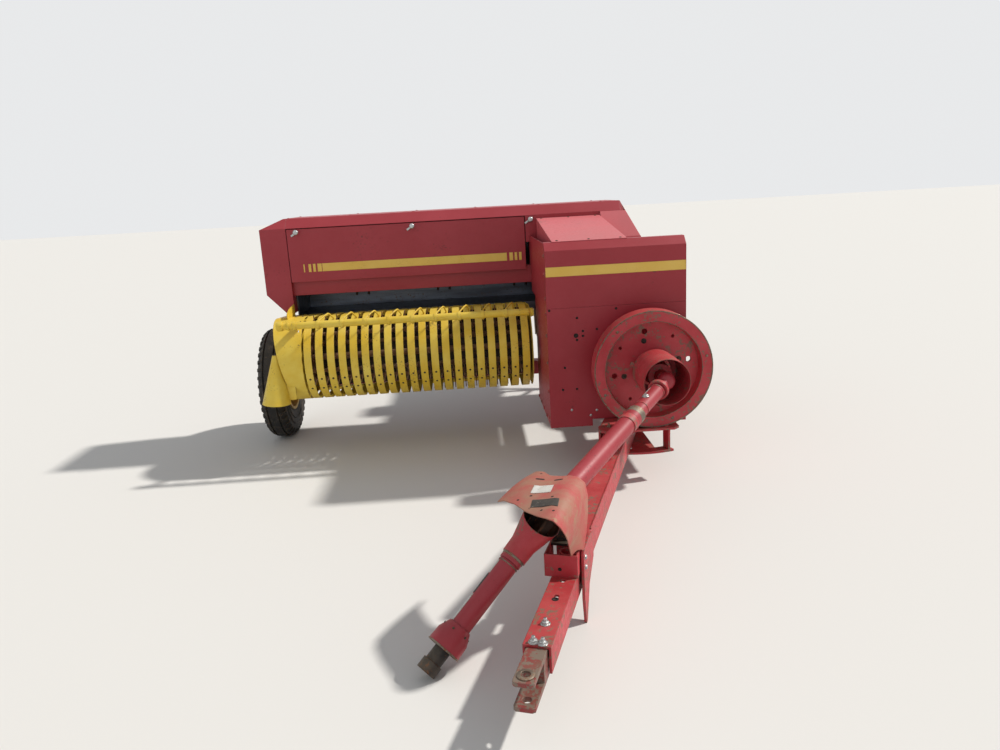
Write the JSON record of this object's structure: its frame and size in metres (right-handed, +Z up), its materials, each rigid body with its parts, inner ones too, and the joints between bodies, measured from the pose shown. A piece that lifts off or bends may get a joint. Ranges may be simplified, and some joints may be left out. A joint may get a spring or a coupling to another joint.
{
  "type": "square baler",
  "caption": "Pull-type small square baler with side pickup, front flywheel, swinging tongue and drive shaft lying in its guards",
  "frame": {"origin": "centre of the footprint, on the ground", "axes": "X to the machine's own left (away from the pickup), Y to the rear, Z up"},
  "size_m": [2.799, 5.0232, 1.465],
  "materials": {
    "red_paint": "satin",
    "worn_red": "worn",
    "yellow_paint": "satin",
    "bare_steel": "satin",
    "dark_steel": "worn",
    "cast_case": "painted",
    "galvanised_sheet": "polished",
    "tyre_rubber": "matte"
  },
  "bodies": {
    "chassis": {"main_frame": "red_paint", "swing_bracket": "worn_red", "case_floor": "red_paint", "case_left_wall": "red_paint", "case_right_wall": "red_paint", "case_top": "red_paint", "bale_tension": "bare_steel", "plunger_crank": "dark_steel", "gearbox": "cast_case", "upper_shield": "red_paint", "lower_shield": "red_paint", "side_shields": "red_paint", "hood": "red_paint", "feeder_top": "red_paint", "feeder_outer_end": "red_paint", "feeder_trough": "galvanised_sheet", "feeder_beam": "red_paint", "feeder_tines": "dark_steel", "knotters": "cast_case", "twine_box": "red_paint"},
    "front_panel": {"feeder_shield": "red_paint"},
    "knotter_lid": {"knotter_cover": "red_paint"},
    "box_lid": {"twine_lid": "red_paint"},
    "needle_yoke": {"needles": "dark_steel"},
    "measuring_wheel": {"metering_wheel": "bare_steel"},
    "outer_wheel": {"outer_rim": "yellow_paint", "outer_tyre": "tyre_rubber"},
    "inner_wheel": {"inner_rim": "yellow_paint", "inner_tyre": "tyre_rubber"},
    "flywheel_body": {"flywheel": "worn_red", "joint_guard": "worn_red"},
    "rear_shaft_body": {"rear_shaft": "worn_red"},
    "tongue": {"tongue_beam": "worn_red", "hitch_clevis": "worn_red", "tongue_brackets": "worn_red", "joint_cover": "worn_red", "front_joint": "dark_steel"},
    "front_shaft": {"half_shaft": "red_paint", "drive_yoke": "dark_steel"},
    "pickup": {"pickup_bars": "yellow_paint", "pickup_sides": "yellow_paint", "strippers": "yellow_paint", "wind_guard": "yellow_paint", "divider": "yellow_paint"},
    "reel": {"tine_reel": "dark_steel"}
  },
  "joints": [
    {"name": "tongue_swing", "type": "hinge", "parent": "chassis", "child": "tongue", "pos_m": [0.8905, -0.08836, 0.23], "axis": [0, 0, 1], "range_deg": [0, 20]},
    {"name": "rear_shaft_swing", "type": "hinge", "parent": "chassis", "child": "rear_shaft_body", "pos_m": [0.9255, -0.82836, 0.618], "axis": [0, 0, 1], "range_deg": [0, 31.6]},
    {"name": "front_shaft_lift", "type": "hinge", "parent": "tongue", "child": "front_shaft", "pos_m": [0.2305, -1.84836, 0.43], "axis": [-0.5592, 0.829, 0], "range_deg": [0, 35]},
    {"name": "flywheel_spin", "type": "hinge", "parent": "chassis", "child": "flywheel_body", "pos_m": [0.9255, -0.43836, 0.618], "axis": [0, 1, 0], "continuous": true},
    {"name": "outer_wheel_spin", "type": "hinge", "parent": "chassis", "child": "outer_wheel", "pos_m": [-1.3195, 0.76164, 0.37], "axis": [1, 0, 0], "continuous": true},
    {"name": "inner_wheel_spin", "type": "hinge", "parent": "chassis", "child": "inner_wheel", "pos_m": [1.2155, 0.76164, 0.37], "axis": [1, 0, 0], "continuous": true},
    {"name": "pickup_lift", "type": "hinge", "parent": "chassis", "child": "pickup", "pos_m": [-0.3245, 0.76164, 0.72], "axis": [1, 0, 0], "range_deg": [0, 28]},
    {"name": "reel_spin", "type": "hinge", "parent": "pickup", "child": "reel", "pos_m": [-0.3245, 0.30164, 0.62], "axis": [1, 0, 0], "continuous": true},
    {"name": "front_panel_hinge", "type": "hinge", "parent": "chassis", "child": "front_panel", "pos_m": [-0.3745, 0.49764, 1.078], "axis": [1, 0, 0], "range_deg": [0, 100]},
    {"name": "knotter_cover_hinge", "type": "hinge", "parent": "chassis", "child": "knotter_lid", "pos_m": [0.7755, 1.24664, 1.219], "axis": [1, 0, 0], "range_deg": [0, 75]},
    {"name": "twine_lid_hinge", "type": "hinge", "parent": "chassis", "child": "box_lid", "pos_m": [1.0735, 1.18664, 1.136], "axis": [0, -1, 0], "range_deg": [0, 100]},
    {"name": "needle_swing", "type": "hinge", "parent": "chassis", "child": "needle_yoke", "pos_m": [0.7755, 1.80164, 0.96], "axis": [-1, 0, 0], "range_deg": [0, 46]},
    {"name": "metering_spin", "type": "hinge", "parent": "chassis", "child": "measuring_wheel", "pos_m": [0.7755, 1.70164, 1.271], "axis": [1, 0, 0], "continuous": true}
  ],
  "couplings": [
    {"joint": "rear_shaft_swing", "follows": "tongue_swing", "ratio": 1.58}
  ]
}
